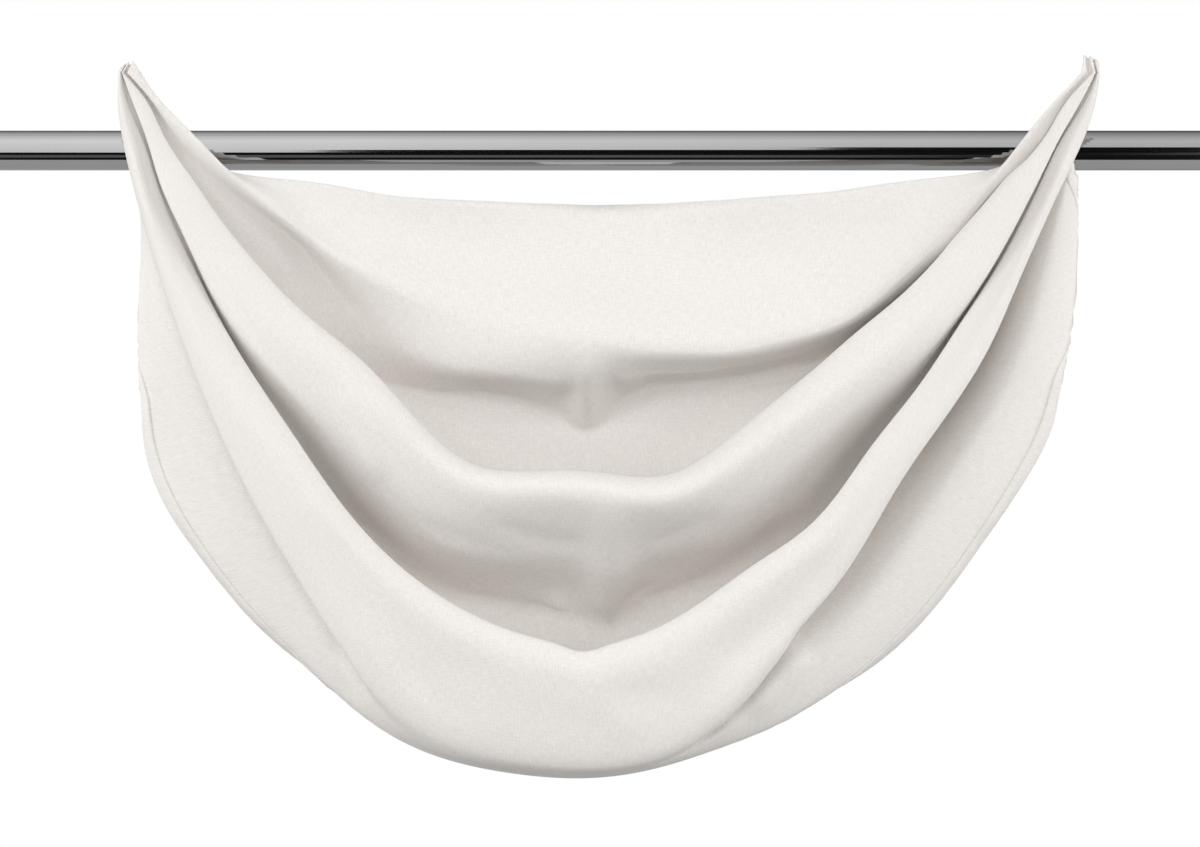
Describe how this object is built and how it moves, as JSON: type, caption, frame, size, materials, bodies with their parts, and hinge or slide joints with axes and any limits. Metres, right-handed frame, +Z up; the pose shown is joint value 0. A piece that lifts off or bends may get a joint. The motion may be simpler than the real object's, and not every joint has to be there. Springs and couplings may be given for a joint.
{
  "type": "swag drape on a rod",
  "caption": "Cotton window swag gathered to a tip at each end, with soft rolled folds and a hemmed lower edge, hanging in front of a round polished rod.",
  "frame": {"origin": "on the rod's axis at the middle of its length", "axes": "+X along the rod, to the right as seen from the room; +Z up; -Y towards the room, so the swag hangs on the -Y side"},
  "size_m": [1.25, 0.1397, 0.7215],
  "materials": {
    "cloth": "plain-woven off-white cotton, matt",
    "rod_metal": "smooth polished steel"
  },
  "bodies": {
    "root": {"swag": "cloth", "rod": "rod_metal"}
  },
  "joints": []
}
